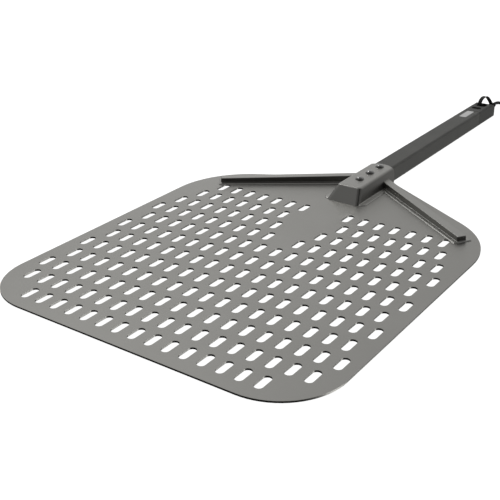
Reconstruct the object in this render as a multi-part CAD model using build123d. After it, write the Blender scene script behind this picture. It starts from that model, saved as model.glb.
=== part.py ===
from build123d import *
import os
from math import atan2, degrees, hypot, radians, sqrt, tan

# A perforated aluminium pizza peel with a pressed yoke, a riveted moulded handle and a hanging thong.
# Millimetres. +X right, +Y from the blade's front edge towards the handle's end, +Z up.
# The origin is under the middle of the peel, on the surface that it lies on.

os.makedirs("parts", exist_ok=True)

# ---- driving dimensions ----
overall_length = 665.0
front_edge_y = -overall_length / 2
handle_end_y = overall_length / 2

# Fits between parts, how far a cut or a joined solid runs on past the face that it ends at,
# and how near two places count as one.
fit_gap = 0.05
overlap = 0.5
same_place = 0.01

# Blade: a flat plate, 3 mm clear of the table, because the handle is deeper than the plate.
blade_width = 304.8
blade_thickness = 1.5
blade_bottom = 3.0
blade_top = blade_bottom + blade_thickness
front_corner_radius = 52.0
rear_corner_radius = 80.0
side_length = 303.4
rear_slope = 30.2

# Perforation: staggered rows of obround slots, lengthwise.
slot_pitch = 15.5
row_pitch = 23.6
slot_width = 6.8
slot_length = 16.6
first_row_inset = 20.3
outermost_half_pitch = [14, 17, 18, 17, 18, 17, 18, 17, 18, 17, 16, 15]
blank_half_pitch = {8: 1, 9: 2, 10: 3, 11: 2}

# Yoke: one thin pressing, a hollow centre block and two hollow arms.
sheet = 0.8
yoke_top = 17.7
yoke_half_base = 17.2
yoke_half_top = 12.2
yoke_front_base_y = -23.2
yoke_front_top_y = -10.5
yoke_nose_radius = 17.6
yoke_rear_y = 62.6
yoke_front_corner_radius = 4.6
yoke_edge_radius = 3.2
arm_outer_x = 125.4
arm_outer_y = -45.0
arm_inner_x = 32.2
arm_inner_y = 19.7
arm_width = 8.8
arm_outer_height = 5.0
arm_inner_height = 6.5
arm_edge_radius = 1.0
flange_width = 4.6
flange_overhang = 2.0
flange_corner_radius = 1.6
flange_edge_height = 0.6
flange_edge_width = 1.0
block_flange_width = 5.0
block_flange_front_y = -20.5
block_flange_corner_radius = 4.9
root_radius = 0.9
doorway_depth = 30.0

# Handle: a hollow moulding whose upper part runs on over the blade, inside the yoke.
handle_width = 21.6
handle_height = yoke_top - sheet
handle_top_radius = 2.5
handle_bottom_radius = 2.6
tongue_front_y = -2.0
cap_seam_y = 281.7
core_width = 14.4
core_height = 9.6
core_corner_radius = 2.0
core_centre_z = 8.6
core_front_y = 70.0

# Rivets through the yoke, the handle's tongue and the blade.
rivet_pitch = 20.4
first_rivet_y = 10.4
rivet_count = 3
rivet_shank_radius = 2.0
rivet_head_radius = 4.5
rivet_head_height = 2.9
rivet_tail_radius = 3.2
rivet_tail_height = 1.5
rivet_tail_rounding = 0.6
washer_radius = 4.6
washer_thickness = 0.8

# End cap with two openings, lengthwise from front to rear: a hanging hole, and one for the thong.
# A crossbar parts them. The end bar, behind the rear opening, is what the thong goes round.
cap_corner_radius = 5.0
cap_lower_end_radius = 1.8
cap_upper_end_radius = 15.0
spigot_length = 18.0
spigot_gap = 0.1
opening_width = 11.0
hanging_hole_ends = (293.9, 301.1)
hanging_hole_corner_radius = 3.4
thong_opening_ends = (307.0, 318.5)
thong_opening_corner_radius = 3.0
opening_rim_radius = 1.2
bar_rounding = 3.4
thong_groove_top = 4.0
seam_chamfer = 0.35
cap_screw_y = 272.5
cap_screw_radius = 1.4
cap_screw_head_radius = 2.7
cap_screw_head_height = 1.8
cap_screw_head_seat = 2.4
cap_screw_length = 8.0
cap_screw_head_clearance = 0.3
driver_span = 3.2
driver_width = 0.7
driver_depth = 0.8

# A plain inlaid plate on the handle's top, near the cap.
badge_length = 26.0
badge_width = 8.0
badge_corner_radius = 1.6
badge_centre_y = 267.4
badge_depth = 0.6
badge_proud = 0.15
badge_edge_radius = 0.13

# Thong: a flat strip through the rear opening and round the end bar, tied behind the handle's end.
# Each route is a list of places in an upright plane: how far along it, and how high. The bend at
# each place is an arc that takes up a share of the shorter run beside it.
thong_width = 5.0
thong_thickness = 1.2
arc_share = 0.45
loop_plane_x = -1.6
loop_route = [
    (344.4, 9.6),
    (341.4, 13.6),
    (337.4, 17.8),
    (332.0, 21.9),
    (325.0, 23.9),
    (317.0, 22.9),
    (312.2, 18.8),
    (311.0, 12.0),
    (313.0, 5.4),
    (318.2, 1.7),
    (326.0, 1.2),
    (333.4, 1.6),
    (339.0, 3.8),
    (344.0, 7.2),
]
knot_centre = (1.2, 346.0, 8.2)
knot_size = (8.4, 8.0, 6.4)
knot_rounding = 2.6
upper_tail_heading = 12.0
upper_tail_route = [(2.0, 9.2), (8.4, 9.5), (14.6, 8.5), (20.8, 6.4), (27.0, 3.6), (33.2, 0.9)]
lower_tail_heading = -68.0
lower_tail_route = [(2.0, 6.8), (8.0, 4.9), (14.0, 2.7), (19.8, 1.3), (25.6, 0.8), (31.6, 0.7)]


# ---- helpers ----
everywhere = Rectangle(2 * overall_length, 2 * overall_length)


def save(shape, node):
    """Write one node's solids to its own file."""
    shape.label = node
    export_step(shape, f"parts/{node}.step")


def upright_prism(sketch, low, high):
    """Extrude a plan outline from one height to another."""
    return extrude(Pos(0, 0, low) * sketch, high - low)


def blade_outline(grow=0.0):
    """Plan outline of the blade: straight sides, two sloping rear edges and a round tongue."""
    half = blade_width / 2
    corner_y = front_edge_y + side_length
    tongue_y = corner_y + (half - yoke_half_base) * tan(radians(rear_slope))
    front = Polyline((-half, corner_y), (-half, front_edge_y), (half, front_edge_y), (half, corner_y))
    outline = make_face(
        [
            front,
            Line((half, corner_y), (yoke_half_base, tongue_y)),
            Line((yoke_half_base, tongue_y), (-yoke_half_base, tongue_y)),
            Line((-yoke_half_base, tongue_y), (-half, corner_y)),
        ]
    )
    front_corners = outline.vertices().sort_by(Axis.Y)[:2]
    outline = fillet(front_corners, front_corner_radius)
    side_corners = outline.vertices().filter_by_position(Axis.Y, corner_y - same_place, corner_y + same_place)
    outline = fillet(side_corners, rear_corner_radius)
    outline = outline + nose_outline(yoke_half_base, tongue_y - yoke_nose_radius)
    if grow:
        outline = offset(outline, grow)
    return outline


def nose_outline(half_width, start_y, inset=0.0):
    """Plan outline of the centre block from start_y back to its round rear end."""
    length = yoke_rear_y - start_y + overlap
    strip = Pos(0, start_y + length / 2) * Rectangle(2 * half_width, length)
    round_end = Pos(0, yoke_rear_y - yoke_nose_radius) * Circle(yoke_nose_radius - inset)
    straight_y = yoke_rear_y - yoke_nose_radius
    straight = Pos(0, (start_y + straight_y) / 2) * Rectangle(2 * half_width, straight_y - start_y)
    return strip & (round_end + straight)


def slot_centres():
    """The staggered grid of slots, less the plain patch in front of the handle."""
    centres = []
    for row, outermost in enumerate(outermost_half_pitch):
        y = front_edge_y + first_row_inset + row * row_pitch
        for half_step in range(-outermost, outermost + 1, 2):
            if abs(half_step) >= blank_half_pitch.get(row, 0):
                centres.append((half_step * slot_pitch / 2, y))
    return centres


def rivet_places():
    """The rivets' places along the centre line."""
    return [(0, first_rivet_y + i * rivet_pitch) for i in range(rivet_count)]


# ---- blade ----
def make_blade():
    slot = Rot(0, 0, 90) * SlotOverall(slot_length, slot_width)
    plan = blade_outline() - [Pos(x, y) * slot for x, y in slot_centres()]
    plan = plan - [Pos(x, y) * Circle(rivet_shank_radius + fit_gap) for x, y in rivet_places()]
    return upright_prism(plan, blade_bottom, blade_top)


# ---- yoke ----
def centre_block(inset):
    """The centre block's outer form, or its hollow with a sheet-thick inset."""
    side_run = (yoke_half_base - yoke_half_top) / (yoke_top - blade_top)
    front_run = (yoke_front_top_y - yoke_front_base_y) / (yoke_top - blade_top)
    side_shift = inset * sqrt(1 + side_run**2)
    front_shift = inset * sqrt(1 + front_run**2)
    top = yoke_top - inset
    half_base = yoke_half_base - side_shift
    half_top = half_base - side_run * (top - blade_top)
    section = make_face(
        Polyline(
            (-half_base, blade_top),
            (half_base, blade_top),
            (half_top, top),
            (-half_top, top),
            close=True,
        )
    )
    start_y = yoke_front_base_y + front_shift
    length = yoke_rear_y - start_y
    block = extrude(Plane.XZ.offset(-start_y) * section, -length)
    front_top_y = start_y + front_run * (top - blade_top)
    wedge_profile = make_face(
        Polyline(
            (start_y - overlap, blade_top),
            (start_y, blade_top),
            (front_top_y, top),
            (front_top_y, top + overlap),
            (start_y - overlap, top + overlap),
            close=True,
        )
    )
    wedge = extrude(Plane.YZ * wedge_profile, yoke_half_base + overlap, both=True)
    round_end = upright_prism(
        nose_outline(yoke_half_base + overlap, start_y - overlap, inset),
        blade_top - overlap,
        yoke_top + overlap,
    )
    return (block - wedge) & round_end


def rounded_centre_block():
    """The outer centre block with its front corners and top edges rounded."""
    block = centre_block(0.0)
    slanted = [
        e
        for e in block.edges()
        if yoke_front_base_y < e.center().Y < yoke_front_top_y
        and e.bounding_box().size.Z > (yoke_top - blade_top) / 2
    ]
    block = fillet(slanted, yoke_front_corner_radius)
    top_face = block.faces().sort_by(Axis.Z)[-1]
    return fillet(top_face.edges(), yoke_edge_radius)


def arm_frame(side):
    """A plane at the arm's outer end: local x runs inwards along its front wall, local y to the rear."""
    along = (-side * (arm_outer_x - arm_inner_x), arm_inner_y - arm_outer_y, 0)
    normal = (0, 0, 1)
    return Plane(origin=(side * arm_outer_x, arm_outer_y, blade_top), x_dir=along, z_dir=normal)


def arm_run():
    """Length of an arm's front wall, from its outer end to the centre block."""
    return hypot(arm_outer_x - arm_inner_x, arm_inner_y - arm_outer_y)


def arm_reach():
    """Length of an arm's solid, which runs on into the centre block."""
    return arm_run() * arm_outer_x / (arm_outer_x - arm_inner_x) - arm_width


def arm_solid(side, inset):
    """One arm's outer form, or its hollow with a sheet-thick inset."""
    climb = (arm_inner_height - arm_outer_height) / arm_run()
    reach = arm_reach()
    profile = make_face(
        Polyline(
            (inset, 0),
            (reach, 0),
            (reach, arm_outer_height + climb * reach - inset),
            (inset, arm_outer_height + climb * inset - inset),
            close=True,
        )
    )
    width = arm_width - 2 * inset
    solid = extrude(Plane.XZ * profile, -width)
    solid = Pos(0, inset, 0) * solid
    if inset == 0:
        top_face = solid.faces().sort_by(Axis.Z)[-1]
        end_face = solid.faces().sort_by(Axis.X)[0]
        edges = top_face.edges().filter_by(lambda e: e.center().X < reach - overlap)
        upright = end_face.edges().filter_by(Axis.Z)
        solid = fillet(edges + upright, arm_edge_radius)
    if side > 0:
        solid = mirror(solid, Plane.XZ)
    return arm_frame(side).location * solid


def arm_footprint(side):
    """Plan outline of an arm with its flange on both sides and at its outer end."""
    length = arm_reach() + flange_overhang
    plan = RectangleRounded(length, arm_width + 2 * flange_width, flange_corner_radius)
    plan = Pos(length / 2 - flange_overhang, -side * arm_width / 2) * plan
    frame = arm_frame(side)
    turn = degrees(atan2(frame.x_dir.Y, frame.x_dir.X))
    return Pos(frame.origin.X, frame.origin.Y) * Rot(0, 0, turn) * plan


def sloping_foot(plan):
    """A sheet-thick foot on the blade, with a sloping edge all round."""
    slope_from = blade_top + sheet - flange_edge_height
    slope = degrees(atan2(flange_edge_width, flange_edge_height))
    upper = extrude(Pos(0, 0, slope_from) * plan, flange_edge_height, taper=slope)
    return upright_prism(plan, blade_top, slope_from) + upper


def make_flange():
    """The thin foot that runs along the arms and beside the centre block."""
    block_length = arm_inner_y + yoke_nose_radius - block_flange_front_y
    beside = Pos(0, block_flange_front_y + block_length / 2) * RectangleRounded(
        2 * (yoke_half_base + block_flange_width), block_length, block_flange_corner_radius
    )
    flange = sloping_foot(beside) + sloping_foot(arm_footprint(-1)) + sloping_foot(arm_footprint(1))
    under_block = nose_outline(yoke_half_base, arm_inner_y)
    flange = flange + upright_prism(under_block, blade_top, blade_top + sheet)
    return flange & upright_prism(blade_outline(-flange_overhang), blade_top, blade_top + sheet)


def handle_section(grow=0.0):
    """The handle's section, drawn in the XZ plane, with a flat top and a fuller underside."""
    section = Pos(0, handle_height / 2) * Rectangle(handle_width, handle_height)
    section = fillet(section.vertices().group_by(Axis.Y)[-1], handle_top_radius)
    section = fillet(section.vertices().group_by(Axis.Y)[0], handle_bottom_radius)
    if grow:
        section = offset(section, grow)
    return section


def lengthwise(section, start_y, end_y):
    """Extrude a section drawn in the XZ plane from one y to another."""
    return extrude(Plane.XZ.offset(-start_y) * section, start_y - end_y)


def rounded_roots(outer, flange):
    """Round the long inner corners where the yoke's walls meet its flange."""
    rim = flange.faces().sort_by(Axis.Z)[-1].outer_wire()
    foot = blade_top + sheet
    roots = [
        e
        for e in outer.edges().filter_by_position(Axis.Z, foot - same_place, foot + same_place)
        if e.length > 2 * yoke_half_base and rim.distance_to(e.center()) > root_radius
    ]
    return fillet(roots, root_radius)


def make_yoke():
    outer = rounded_centre_block()
    hollow = centre_block(sheet)
    for side in (-1, 1):
        outer = outer + arm_solid(side, 0)
        hollow = hollow + arm_solid(side, sheet)
    flange = make_flange()
    outer = rounded_roots(outer + flange, flange)
    hollow = hollow - upright_prism(everywhere, blade_top - yoke_top, blade_top)
    doorway = lengthwise(handle_section(fit_gap), yoke_rear_y - doorway_depth, yoke_rear_y + overlap)
    doorway = doorway & upright_prism(everywhere, blade_top, handle_height + fit_gap)
    yoke = outer - hollow - doorway
    for x, y in rivet_places():
        hole = Pos(x, y) * Circle(rivet_shank_radius + fit_gap)
        yoke = yoke - upright_prism(hole, yoke_top - 2 * sheet, yoke_top + overlap)
    return yoke


# ---- rivets ----
def make_rivets():
    """Domed rivets, closed under a washer on the blade's underside."""
    sphere_radius = (rivet_head_radius**2 + rivet_head_height**2) / (2 * rivet_head_height)
    tail_top = blade_bottom - washer_thickness
    rivets = []
    for x, y in rivet_places():
        dome = Pos(x, y, yoke_top + rivet_head_height - sphere_radius) * Sphere(sphere_radius)
        dome = dome & upright_prism(everywhere, yoke_top, yoke_top + 2 * rivet_head_height)
        shank = upright_prism(
            Pos(x, y) * Circle(rivet_shank_radius), tail_top - overlap, yoke_top + overlap
        )
        tail = upright_prism(
            Pos(x, y) * Circle(rivet_tail_radius), tail_top - rivet_tail_height, tail_top
        )
        tail = fillet(tail.edges().sort_by(Axis.Z)[0], rivet_tail_rounding)
        rivets.append(dome + shank + tail)
    return Compound(children=rivets)


def make_washers():
    washers = []
    for x, y in rivet_places():
        ring = Circle(washer_radius) - Circle(rivet_shank_radius + fit_gap)
        washers.append(upright_prism(Pos(x, y) * ring, blade_bottom - washer_thickness, blade_bottom))
    return Compound(children=washers)


# ---- handle and end cap ----
def core_section(shrink=0.0):
    """Section of the handle's hollow, and, made smaller, of the cap's spigot in it."""
    return Pos(0, core_centre_z) * RectangleRounded(
        core_width - 2 * shrink, core_height - 2 * shrink, core_corner_radius
    )


def cap_screw_cut():
    """Way for the cap's screw from below: clearance for its head and its shank."""
    head = upright_prism(
        Pos(0, cap_screw_y) * Circle(cap_screw_head_radius + cap_screw_head_clearance),
        -overlap,
        cap_screw_head_seat,
    )
    shank = upright_prism(
        Pos(0, cap_screw_y) * Circle(cap_screw_radius + fit_gap),
        0,
        cap_screw_head_seat + cap_screw_length,
    )
    return head + shank


def make_handle():
    handle = lengthwise(handle_section(), tongue_front_y, cap_seam_y)
    handle = chamfer(handle.faces().sort_by(Axis.Y)[-1].edges(), seam_chamfer)
    blade_nose = nose_outline(yoke_half_base, tongue_front_y - overlap, -fit_gap)
    handle = handle - upright_prism(blade_nose, -overlap, blade_top)
    handle = handle - lengthwise(core_section(), core_front_y, cap_seam_y + overlap)
    handle = handle - cap_screw_cut()
    recess = Pos(0, badge_centre_y) * RectangleRounded(
        badge_width + 2 * fit_gap, badge_length + 2 * fit_gap, badge_corner_radius
    )
    handle = handle - upright_prism(recess, handle_height - badge_depth, handle_height + overlap)
    for x, y in rivet_places():
        hole = Pos(x, y) * Circle(rivet_shank_radius + fit_gap)
        handle = handle - upright_prism(hole, blade_top - overlap, handle_height + overlap)
    return handle


def make_badge():
    plan = Pos(0, badge_centre_y) * RectangleRounded(badge_width, badge_length, badge_corner_radius)
    badge = upright_prism(plan, handle_height - badge_depth, handle_height + badge_proud)
    return fillet(badge.faces().sort_by(Axis.Z)[-1].edges(), badge_edge_radius)


def opening_outline(ends, corner_radius):
    """Plan outline of one of the cap's openings."""
    front_y, rear_y = ends
    return Pos(0, (front_y + rear_y) / 2) * RectangleRounded(
        opening_width, rear_y - front_y, corner_radius
    )


def cap_end_outlines():
    """What bounds the cap from above and from the side: two outlines with rounded ends."""
    length = handle_end_y - cap_seam_y + spigot_length
    middle_y = handle_end_y - length / 2
    plan = Pos(0, middle_y) * Rectangle(handle_width, length)
    plan = fillet(plan.vertices().group_by(Axis.Y)[-1], cap_corner_radius)
    side = Pos(middle_y, handle_height / 2) * Rectangle(length, handle_height)
    side = fillet(side.vertices().sort_by(Axis.Y)[:2].sort_by(Axis.X)[-1], cap_lower_end_radius)
    side = fillet(side.vertices().group_by(Axis.Y)[-1].sort_by(Axis.X)[-1], cap_upper_end_radius)
    return plan, side


def make_cap():
    """The handle's end: a spigot, two openings and a rounded bar behind them."""
    cap = lengthwise(handle_section(), cap_seam_y, handle_end_y)
    cap = chamfer(cap.faces().sort_by(Axis.Y)[0].edges(), seam_chamfer)
    hanging_hole = opening_outline(hanging_hole_ends, hanging_hole_corner_radius)
    thong_opening = opening_outline(thong_opening_ends, thong_opening_corner_radius)
    cap = cap - upright_prism(hanging_hole + thong_opening, -overlap, handle_height + overlap)
    top_face = cap.faces().sort_by(Axis.Z)[-1]
    rims = [edge for wire in top_face.inner_wires() for edge in wire.edges()]
    cap = fillet(rims, opening_rim_radius)
    plan, side = cap_end_outlines()
    cap = cap & upright_prism(plan, -overlap, handle_height + overlap)
    cap = cap & extrude(Plane.YZ * side, handle_width, both=True)
    cap = cap + lengthwise(core_section(spigot_gap), cap_seam_y - spigot_length, cap_seam_y + overlap)
    return cap - cap_screw_cut() - thong_groove()


def thong_groove():
    """What is cut away under and round the end bar, to let the thong turn about it."""
    opening_rear_y = thong_opening_ends[1]
    bar_depth = handle_end_y - opening_rear_y
    bar_height = handle_height - thong_groove_top
    bar = Pos(opening_rear_y + bar_depth / 2, thong_groove_top + bar_height / 2)
    bar = bar * RectangleRounded(bar_depth, bar_height, bar_rounding)
    start_y = opening_rear_y - thong_opening_corner_radius
    middle_z = thong_groove_top + bar_height / 2
    lower = make_face(
        Polyline(
            (start_y, -overlap),
            (handle_end_y + overlap, -overlap),
            (handle_end_y + overlap, middle_z),
            (start_y, middle_z),
            close=True,
        )
    )
    return extrude(Plane.YZ * (lower - bar), opening_width / 2, both=True)


def make_cap_screw():
    head = upright_prism(
        Pos(0, cap_screw_y) * Circle(cap_screw_head_radius),
        cap_screw_head_seat - cap_screw_head_height,
        cap_screw_head_seat,
    )
    shank = upright_prism(
        Pos(0, cap_screw_y) * Circle(cap_screw_radius),
        cap_screw_head_seat - overlap,
        cap_screw_head_seat + cap_screw_length - overlap,
    )
    cross = Rectangle(driver_span, driver_width) + Rectangle(driver_width, driver_span)
    under_head = cap_screw_head_seat - cap_screw_head_height
    driver = upright_prism(Pos(0, cap_screw_y) * cross, under_head - overlap, under_head + driver_depth)
    return head + shank - driver


# ---- thong ----
def strip_along(route, name):
    """A flat strip along a route in the YZ plane, with arcs as large as its runs allow."""
    corners = [Vector(along, height) for along, height in route]
    radii = []
    for before, corner, after in zip(corners, corners[1:], corners[2:]):
        turn = (corner - before).get_angle(after - corner)
        shorter = min((corner - before).length, (after - corner).length)
        radii.append(arc_share * shorter / tan(radians(turn) / 2))
    path = FilletPolyline(*corners, radius=radii)
    print(name, "length", round(path.length, 1), "radii", [round(r, 1) for r in radii])
    band = strip_band(path)
    strip = extrude(Plane.YZ * band, thong_width / 2, both=True)
    plain_volume = path.length * thong_width * thong_thickness
    print(name, "volume against its section times its length", round(strip.volume / plain_volume, 3))
    return strip


def strip_band(path):
    """The strip seen from the side: the route, thickened equally to both sides."""
    band = Sketch()
    for edge in path.edges():
        band = band + thick_run(edge)
    return band


def thick_run(edge):
    """One straight run or arc of the strip, seen from the side."""
    start = edge.position_at(0)
    across = edge.tangent_at(0).rotate(Axis.Z, 90) * (thong_thickness / 2)
    side = Line(start - across, start + across)
    return sweep(side, path=edge)


def make_knot():
    knot = Pos(*knot_centre) * Box(*knot_size)
    return fillet(knot.edges(), knot_rounding)


def make_loop(knot):
    """The strip from the knot over the end bar, down the rear opening and back under the bar."""
    return Pos(loop_plane_x, 0, 0) * strip_along(loop_route, "thong_loop") - knot


def make_tail(route, heading, knot, name):
    """A loose end of the strip, lying in an upright plane that is turned from straight ahead."""
    turned = Pos(knot_centre[0], knot_centre[1], 0) * Rot(0, 0, -heading)
    return turned * strip_along(route, name) - knot


save(make_blade(), "blade")
save(make_yoke(), "yoke")
save(make_rivets(), "rivets")
save(make_washers(), "rivet_washers")
save(make_handle(), "handle")
save(make_badge(), "handle_badge")
save(make_cap(), "end_cap")
save(make_cap_screw(), "end_cap_screw")
thong_knot = make_knot()
save(thong_knot, "thong_knot")
save(make_loop(thong_knot), "thong_loop")
save(make_tail(upper_tail_route, upper_tail_heading, thong_knot, "thong_upper_tail"), "thong_upper_tail")
save(make_tail(lower_tail_route, lower_tail_heading, thong_knot, "thong_lower_tail"), "thong_lower_tail")
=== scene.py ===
"""Looks of the perforated pizza peel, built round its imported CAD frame.

The CAD nodes keep their shapes and get their materials here. The leather thong is the only soft
thing: its loop, knot and two loose ends are modelled here and replace their plain CAD solids.
+X is right, +Y from the blade's front edge to the handle's end, +Z up. The scene is in metres.
The thong's routes and sizes are written in millimetres, as in the part's source.
"""

import math

import bpy
from mathutils import Matrix, Vector


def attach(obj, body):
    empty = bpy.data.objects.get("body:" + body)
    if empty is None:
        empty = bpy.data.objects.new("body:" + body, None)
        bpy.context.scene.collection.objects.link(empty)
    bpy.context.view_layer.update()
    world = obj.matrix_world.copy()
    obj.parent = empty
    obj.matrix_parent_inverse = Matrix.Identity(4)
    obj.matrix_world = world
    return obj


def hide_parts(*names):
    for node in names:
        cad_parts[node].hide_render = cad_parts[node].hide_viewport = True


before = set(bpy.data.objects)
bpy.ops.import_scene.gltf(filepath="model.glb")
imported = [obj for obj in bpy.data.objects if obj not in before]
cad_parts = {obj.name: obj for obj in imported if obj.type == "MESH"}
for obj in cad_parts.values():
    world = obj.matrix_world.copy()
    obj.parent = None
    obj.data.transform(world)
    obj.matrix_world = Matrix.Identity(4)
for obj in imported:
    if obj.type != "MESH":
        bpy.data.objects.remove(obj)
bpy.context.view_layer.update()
MM = 0.001


# ---- camera ----
CAMERA_PLACE = Vector((0.38616, -0.71495, 0.33156))
CAMERA_AIM = Vector((-0.01770, -0.14785, 0.0))
CAMERA_ROLL = math.radians(-0.64)
CAMERA_LENS = 65.21
CAMERA_SENSOR_WIDTH = 36.0


def make_camera():
    data = bpy.data.cameras.new("camera")
    data.lens = CAMERA_LENS
    data.sensor_width = CAMERA_SENSOR_WIDTH
    camera = bpy.data.objects.new("camera", data)
    aim = (CAMERA_AIM - CAMERA_PLACE).to_track_quat("-Z", "Y")
    camera.rotation_mode = "QUATERNION"
    camera.rotation_quaternion = aim @ Matrix.Rotation(CAMERA_ROLL, 3, "Z").to_quaternion()
    camera.location = CAMERA_PLACE
    bpy.context.scene.collection.objects.link(camera)
    bpy.context.scene.camera = camera


# ---- node helpers ----
# The Mix node has its own sockets for colours, which only their numbers tell from the others.
MIX_FACTOR = 0
MIX_FIRST_COLOUR = 6
MIX_SECOND_COLOUR = 7
MIXED_COLOUR = 2

# Nearly all of a noise pattern lies between these two values.
NOISE_LOW = 0.3
NOISE_HIGH = 0.7


class Nodes:
    """A short way to add nodes to a tree and link them."""

    def __init__(self, tree):
        self.tree = tree
        self.tree.nodes.clear()

    def add(self, kind, **settings):
        node = self.tree.nodes.new(kind)
        for name, value in settings.items():
            setattr(node, name, value)
        return node

    def link(self, source, target):
        self.tree.links.new(source, target)

    def math(self, operation, *values):
        node = self.add("ShaderNodeMath", operation=operation)
        for socket, value in zip(node.inputs, values):
            if isinstance(value, (int, float)):
                socket.default_value = value
            else:
                self.link(value, socket)
        return node.outputs[0]


def new_material(name):
    material = bpy.data.materials.new(name)
    material.use_nodes = True
    return material, Nodes(material.node_tree)


def finish_material(nodes, shader):
    out = nodes.add("ShaderNodeOutputMaterial")
    nodes.link(shader.outputs[0], out.inputs["Surface"])


def noise(nodes, place, scale, detail, roughness):
    """A cloudy pattern, mostly between NOISE_LOW and NOISE_HIGH. Scale is in waves per metre."""
    node = nodes.add("ShaderNodeTexNoise")
    node.inputs["Scale"].default_value = scale
    node.inputs["Detail"].default_value = detail
    node.inputs["Roughness"].default_value = roughness
    nodes.link(place, node.inputs["Vector"])
    return node.outputs["Fac"]


def spread(nodes, value, low, high):
    """A noise pattern, stretched to run from low to high."""
    node = nodes.add("ShaderNodeMapRange")
    node.inputs["From Min"].default_value = NOISE_LOW
    node.inputs["From Max"].default_value = NOISE_HIGH
    node.inputs["To Min"].default_value = low
    node.inputs["To Max"].default_value = high
    nodes.link(value, node.inputs["Value"])
    return node.outputs[0]


def mixed(nodes, factor, first, second):
    """A colour that runs from the first to the second with a 0 to 1 factor."""
    node = nodes.add("ShaderNodeMix", data_type="RGBA")
    node.inputs[MIX_FIRST_COLOUR].default_value = (*first, 1)
    node.inputs[MIX_SECOND_COLOUR].default_value = (*second, 1)
    nodes.link(factor, node.inputs[MIX_FACTOR])
    return node.outputs[MIXED_COLOUR]


def bumped(nodes, height, depth, strength=1.0):
    """Surface normals for a fine relief, so many metres deep."""
    node = nodes.add("ShaderNodeBump")
    node.inputs["Distance"].default_value = depth
    node.inputs["Strength"].default_value = strength
    nodes.link(height, node.inputs["Height"])
    return node.outputs["Normal"]


# ---- materials ----
def satin_metal(name, dark, light, roughness=(0.36, 0.44), grain_depth=0.006 * MM):
    """Blasted and anodised aluminium: a fine even grain and faint cloudy tone."""
    material, nodes = new_material(name)
    place = nodes.add("ShaderNodeTexCoord").outputs["Object"]
    shader = nodes.add("ShaderNodeBsdfPrincipled")
    shader.inputs["Metallic"].default_value = 1.0
    clouds = noise(nodes, place, scale=14.0, detail=4.0, roughness=0.6)
    grain = noise(nodes, place, scale=2600.0, detail=2.0, roughness=0.6)
    nodes.link(mixed(nodes, spread(nodes, clouds, 0, 1), dark, light), shader.inputs["Base Color"])
    nodes.link(spread(nodes, grain, *roughness), shader.inputs["Roughness"])
    nodes.link(bumped(nodes, grain, grain_depth), shader.inputs["Normal"])
    finish_material(nodes, shader)
    return material


def textured_nylon(name, dark, light, roughness=(0.5, 0.62)):
    """Glass-filled nylon from a spark-textured mould."""
    material, nodes = new_material(name)
    place = nodes.add("ShaderNodeTexCoord").outputs["Object"]
    shader = nodes.add("ShaderNodeBsdfPrincipled")
    clouds = noise(nodes, place, scale=40.0, detail=3.0, roughness=0.55)
    pits = noise(nodes, place, scale=1500.0, detail=3.0, roughness=0.6)
    nodes.link(mixed(nodes, spread(nodes, clouds, 0, 1), dark, light), shader.inputs["Base Color"])
    nodes.link(spread(nodes, pits, *roughness), shader.inputs["Roughness"])
    nodes.link(bumped(nodes, pits, depth=0.03 * MM, strength=0.6), shader.inputs["Normal"])
    finish_material(nodes, shader)
    return material


def black_leather(name):
    """A flat lace: near-black, with a fine pebbled grain and lighter, duller worn patches."""
    material, nodes = new_material(name)
    place = nodes.add("ShaderNodeTexCoord").outputs["Object"]
    shader = nodes.add("ShaderNodeBsdfPrincipled")
    pebbles = nodes.add("ShaderNodeTexVoronoi", feature="SMOOTH_F1")
    pebbles.inputs["Scale"].default_value = 1800.0
    nodes.link(place, pebbles.inputs["Vector"])
    wear = noise(nodes, place, scale=220.0, detail=4.0, roughness=0.6)
    tone = mixed(nodes, spread(nodes, wear, 0, 1), (0.016, 0.016, 0.015), (0.06, 0.059, 0.055))
    nodes.link(tone, shader.inputs["Base Color"])
    nodes.link(spread(nodes, wear, 0.45, 0.65), shader.inputs["Roughness"])
    relief = bumped(nodes, pebbles.outputs["Distance"], depth=0.12 * MM, strength=0.7)
    nodes.link(relief, shader.inputs["Normal"])
    finish_material(nodes, shader)
    return material


def paint_cad_nodes():
    """Give each rigid piece its material."""
    blade_metal = satin_metal("blade_metal", (0.48, 0.474, 0.448), (0.51, 0.504, 0.478))
    yoke_metal = satin_metal(
        "yoke_metal", (0.5, 0.495, 0.47), (0.53, 0.525, 0.5), roughness=(0.33, 0.41)
    )
    rivet_metal = satin_metal(
        "rivet_metal", (0.5, 0.5, 0.49), (0.56, 0.56, 0.55), roughness=(0.2, 0.28)
    )
    steel = satin_metal(
        "fastener_steel", (0.5, 0.5, 0.49), (0.56, 0.56, 0.55), roughness=(0.25, 0.35)
    )
    badge_metal = satin_metal(
        "badge_metal", (0.8, 0.8, 0.79), (0.88, 0.88, 0.87), roughness=(0.26, 0.34)
    )
    handle_nylon = textured_nylon("handle_nylon", (0.29, 0.29, 0.272), (0.325, 0.325, 0.305))
    cap_nylon = textured_nylon("cap_nylon", (0.22, 0.22, 0.207), (0.25, 0.25, 0.235))
    finishes = {
        "blade": blade_metal,
        "yoke": yoke_metal,
        "rivets": rivet_metal,
        "rivet_washers": steel,
        "handle": handle_nylon,
        "handle_badge": badge_metal,
        "end_cap": cap_nylon,
        "end_cap_screw": steel,
    }
    for node, material in finishes.items():
        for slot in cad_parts[node].material_slots:
            slot.material = material


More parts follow.
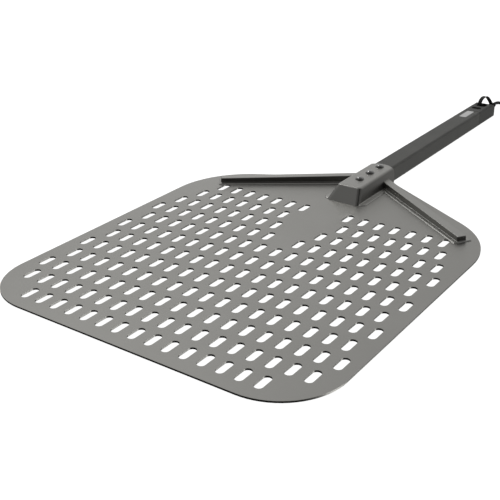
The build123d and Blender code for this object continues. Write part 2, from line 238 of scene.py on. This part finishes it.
# ---- thong ----
# Routes and places are in millimetres, and lengths in metres.
# A tail's route lies in an upright plane: how far from the knot's middle, and how high.
THONG_WIDTH = 5.0 * MM
THONG_THICKNESS = 1.2 * MM
LOOP_CUP = -0.2 * MM
EDGE_STEPS = 4
LINE_STEPS = 12
LOOP_ROUTE = [
    (0.4, 344.4, 9.6),
    (-0.4, 341.4, 13.6),
    (-1.1, 337.4, 17.8),
    (-1.7, 332.0, 21.9),
    (-2.1, 325.0, 23.9),
    (-2.4, 317.0, 22.9),
    (-2.5, 312.2, 18.8),
    (-2.5, 311.0, 12.0),
    (-2.3, 313.0, 5.4),
    (-2.1, 318.2, 1.7),
    (-1.8, 326.0, 1.2),
    (-1.3, 333.4, 1.6),
    (-0.6, 339.0, 3.8),
    (0.2, 344.0, 7.2),
]
KNOT_CENTRE = (1.2, 346.0, 8.2)
UPPER_TAIL_HEADING = 12.0
UPPER_TAIL_ROUTE = [(2.0, 9.2), (8.4, 9.5), (14.6, 8.5), (20.8, 6.4), (27.0, 3.6), (33.2, 0.9)]
LOWER_TAIL_HEADING = -68.0
LOWER_TAIL_ROUTE = [(2.0, 6.8), (8.0, 4.9), (14.0, 2.7), (19.8, 1.3), (25.6, 0.8), (31.6, 0.7)]

# How far the upper tail rolls over at its middle, and from what share of their length,
# and by how much, the tails narrow to their tips.
UPPER_TAIL_ROLL = 0.7
UPPER_TAIL_NARROWING = (0.6, 0.55)
LOWER_TAIL_NARROWING = (0.7, 0.5)

# The knot: two strands, each so far to the side and up, and two turns round them, each with its
# reach to the side and upwards, its place along the knot, its lean and its width.
STRAND_PLACES = ((0.5, 0.8), (-0.5, -0.7))
STRAND_REACH = 3.9
STRAND_STEPS = 12
STRAND_WIDTH = 4.4 * MM
STRAND_THICKNESS = 1.4 * MM
KNOT_TURNS = ((2.7, 1.9, 1.2, -1.1, 3.4), (3.3, 2.4, -0.7, 1.3, 4.0))
TURN_STEPS = 48
TURN_CUP = -0.3 * MM


def tail_places(route, heading):
    """A loose end's places: how far from the knot and how high, in a plane turned by its heading."""
    turn = math.radians(heading)
    x, y, _ = KNOT_CENTRE
    return [(x + away * math.sin(turn), y + away * math.cos(turn), up) for away, up in route]


def heading_across(heading):
    """The level direction square to a loose end's heading."""
    turn = math.radians(heading)
    return (math.cos(turn), -math.sin(turn), 0)


def route_line(name, route):
    """The smooth line that a strip follows: a NURBS spline with the route as its control points."""
    curve = bpy.data.curves.new(name + "_line", "CURVE")
    curve.dimensions = "3D"
    curve.resolution_u = LINE_STEPS
    spline = curve.splines.new("NURBS")
    spline.points.add(len(route) - 1)
    for point, place in zip(spline.points, route):
        point.co = (*(Vector(place) * MM), 1)
    spline.order_u = 3
    spline.use_endpoint_u = True
    holder = bpy.data.objects.new(name + "_line", curve)
    bpy.context.scene.collection.objects.link(holder)
    bpy.context.view_layer.update()
    mesh = bpy.data.meshes.new_from_object(holder)
    line = [v.co.copy() for v in mesh.vertices]
    bpy.data.objects.remove(holder)
    bpy.data.meshes.remove(mesh)
    return line


def strip_section(width, thickness, cup):
    """Corners of a flat section with half-round edges, a little cupped: (across, out).

    Both edges are listed from top to bottom, so the strip's broad faces cross along its middle.
    """
    corner = thickness / 2
    section = []
    for side in (1, -1):
        for step in range(EDGE_STEPS + 1):
            turn = side * (math.pi / 2 - step * math.pi / EDGE_STEPS)
            across = side * (width / 2 - corner) + corner * math.cos(turn) * side
            section.append((across, corner * math.sin(turn) * side))
    return [(a, out + cup * (abs(a) / (width / 2)) ** 2) for a, out in section]


def strip_parts(line, width, thickness, first_across, twist=None, taper=None, cup=0.0):
    """Corners and faces of a flat strip along a line.

    twist gives its roll in radians, and taper its width as a share of the full one, at each share
    of its length.
    """
    section = strip_section(width, thickness, cup)
    across = Vector(first_across)
    vertices = []
    faces = []
    count = len(section)
    last = len(line) - 1
    for i, place in enumerate(line):
        along = (line[min(i + 1, last)] - line[max(i - 1, 0)]).normalized()
        across = (across - along * across.dot(along)).normalized()
        roll = twist(i / last) if twist else 0.0
        share = taper(i / last) if taper else 1.0
        turned = Matrix.Rotation(roll, 3, along) @ across
        out = turned.cross(along)
        for a, o in section:
            vertices.append(place + turned * a * share + out * o)
        if i:
            base = (i - 1) * count
            for k in range(count):
                n = (k + 1) % count
                faces.append((base + k, base + n, base + count + n, base + count + k))
    faces.append(tuple(range(count)))
    faces.append(tuple(len(vertices) - 1 - k for k in range(count)))
    return vertices, faces


def strip_piece(name, *parts):
    """One object from the corners and faces of one or more strips."""
    vertices = []
    faces = []
    for more_vertices, more_faces in parts:
        start = len(vertices)
        vertices.extend(more_vertices)
        faces.extend(tuple(start + k for k in face) for face in more_faces)
    mesh = bpy.data.meshes.new(name)
    mesh.from_pydata(vertices, [], faces)
    mesh.validate()
    for polygon in mesh.polygons:
        polygon.use_smooth = len(polygon.vertices) == 4
    piece = bpy.data.objects.new(name, mesh)
    bpy.context.scene.collection.objects.link(piece)
    return piece


def narrowing(start, amount):
    """A taper that begins at a share of the length and takes away so much of the width."""
    return lambda share: 1 - amount * max(0, share - start) / (1 - start)


def knot_wrap(reach_x, reach_z, shift, lean):
    """The line of one turn round the knot, leaning along it by so much to each side."""
    centre = Vector(KNOT_CENTRE)
    line = []
    for i in range(TURN_STEPS + 1):
        turn = 2 * math.pi * i / TURN_STEPS
        away = Vector((reach_x * math.cos(turn), shift + lean * math.cos(turn), reach_z * math.sin(turn)))
        line.append((centre + away) * MM)
    return line


def knot_core():
    """The two strands that pass through the knot, from the loop's side to the loose ends'."""
    centre = Vector(KNOT_CENTRE)
    strands = []
    for side, up in STRAND_PLACES:
        line = []
        for i in range(STRAND_STEPS + 1):
            away = STRAND_REACH * (2 * i / STRAND_STEPS - 1)
            line.append((centre + Vector((side, away, up))) * MM)
        strands.append(line)
    return strands


def make_knot():
    """An overhand knot: two strands and two turns round them, one drawn over the other."""
    parts = []
    for line in knot_core():
        parts.append(strip_parts(line, STRAND_WIDTH, STRAND_THICKNESS, (1, 0, 0)))
    for reach_x, reach_z, shift, lean, width in KNOT_TURNS:
        line = knot_wrap(reach_x, reach_z, shift, lean)
        parts.append(strip_parts(line, width * MM, THONG_THICKNESS, (0, 1, 0), cup=TURN_CUP))
    return strip_piece("leather_knot", *parts)


def make_loop(line):
    return strip_piece(
        "leather_loop", strip_parts(line, THONG_WIDTH, THONG_THICKNESS, (1, 0, 0), cup=LOOP_CUP)
    )


def make_upper_tail(line):
    """The loose end that rolls over on its way down."""
    across = heading_across(UPPER_TAIL_HEADING)
    parts = strip_parts(
        line,
        THONG_WIDTH,
        THONG_THICKNESS,
        across,
        twist=lambda share: UPPER_TAIL_ROLL * math.sin(math.pi * share),
        taper=narrowing(*UPPER_TAIL_NARROWING),
    )
    return strip_piece("leather_upper_tail", parts)


def make_lower_tail(line):
    """The loose end that lies down flat."""
    across = heading_across(LOWER_TAIL_HEADING)
    taper = narrowing(*LOWER_TAIL_NARROWING)
    parts = strip_parts(line, THONG_WIDTH, THONG_THICKNESS, across, taper=taper)
    return strip_piece("leather_lower_tail", parts)


def make_thong(leather):
    """The loop, the knot and both loose ends, in place of their plain solids."""
    loop_line = route_line("thong_loop", LOOP_ROUTE)
    loop = make_loop(loop_line)
    upper_line = route_line("upper_tail", tail_places(UPPER_TAIL_ROUTE, UPPER_TAIL_HEADING))
    upper = make_upper_tail(upper_line)
    lower_line = route_line("lower_tail", tail_places(LOWER_TAIL_ROUTE, LOWER_TAIL_HEADING))
    lower = make_lower_tail(lower_line)
    knot = make_knot()
    stand_ins = (
        (loop, "thong_loop"),
        (knot, "thong_knot"),
        (upper, "thong_upper_tail"),
        (lower, "thong_lower_tail"),
    )
    for piece, node in stand_ins:
        piece.data.materials.append(leather)
        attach(piece, "thong")
        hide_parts(node)


# ---- stage ----
FLOOR_SIZE = 40.0


def make_plane(name, size):
    """A level square sheet on the surface that the peel lies on."""
    mesh = bpy.data.meshes.new(name)
    half = size / 2
    corners = [(-half, -half, 0), (half, -half, 0), (half, half, 0), (-half, half, 0)]
    mesh.from_pydata(corners, [], [(0, 1, 2, 3)])
    plane = bpy.data.objects.new(name, mesh)
    bpy.context.scene.collection.objects.link(plane)
    return plane


def make_floor():
    """An evenly lit white sheet that only the camera sees. The pieces get their light past it."""
    floor = make_plane("floor", FLOOR_SIZE)
    material, nodes = new_material("floor_white")
    shader = nodes.add("ShaderNodeBsdfPrincipled")
    shader.inputs["Base Color"].default_value = (0.8, 0.8, 0.8, 1)
    shader.inputs["Roughness"].default_value = 1.0
    shader.inputs["Emission Color"].default_value = (1, 1, 1, 1)
    shader.inputs["Emission Strength"].default_value = 1.0
    finish_material(nodes, shader)
    floor.data.materials.append(material)
    floor.visible_diffuse = False
    floor.visible_glossy = False
    floor.visible_shadow = False


# The world's strength is exp(GLOW_FALL * towards + GLOW_LEVEL), where towards is 1 in
# GLOW_DIRECTION, 0 square to it and -1 away from it.
GLOW_DIRECTION = Vector((-0.4, 0.83, 0.4)).normalized()
GLOW_FALL = 2.2
GLOW_LEVEL = -2.62


def make_world():
    """Soft light all round, brightest behind the peel, fading to dark low in front of it."""
    world = bpy.data.worlds.new("world")
    bpy.context.scene.world = world
    world.use_nodes = True
    nodes = Nodes(world.node_tree)
    direction = nodes.add("ShaderNodeTexCoord").outputs["Generated"]
    facing = nodes.add("ShaderNodeVectorMath", operation="DOT_PRODUCT")
    nodes.link(direction, facing.inputs[0])
    facing.inputs[1].default_value = GLOW_DIRECTION
    level = nodes.math("MULTIPLY_ADD", facing.outputs["Value"], GLOW_FALL, GLOW_LEVEL)
    strength = nodes.math("EXPONENT", level)
    background = nodes.add("ShaderNodeBackground")
    nodes.link(strength, background.inputs["Strength"])
    out = nodes.add("ShaderNodeOutputWorld")
    nodes.link(background.outputs[0], out.inputs["Surface"])


LIGHT_AIM = Vector((0, -0.1, 0))


def soft_box(name, place, size, power):
    """A rectangular studio light, aimed at LIGHT_AIM."""
    data = bpy.data.lights.new(name, "AREA")
    data.shape = "RECTANGLE"
    data.size, data.size_y = size
    data.energy = power
    light = bpy.data.objects.new(name, data)
    light.location = place
    light.rotation_mode = "QUATERNION"
    light.rotation_quaternion = (LIGHT_AIM - Vector(place)).to_track_quat("-Z", "Y")
    bpy.context.scene.collection.objects.link(light)


def make_lights():
    soft_box("wide_left_box", place=(-1.45, 1.35, 0.6), size=(1.1, 1.0), power=0.7)
    soft_box("high_left_box", place=(-1.1, 0.3, 1.55), size=(0.3, 0.3), power=2.2)
    soft_box("overhead_box", place=(-0.6, -0.6, 1.5), size=(1.0, 1.0), power=0.3)
    soft_box("low_right_box", place=(1.6, 0.57, -0.9), size=(1.0, 1.0), power=5.8)


make_camera()
make_thong(black_leather("black_leather"))
paint_cad_nodes()
make_floor()
make_world()
make_lights()
bpy.context.scene.view_settings.view_transform = "Standard"
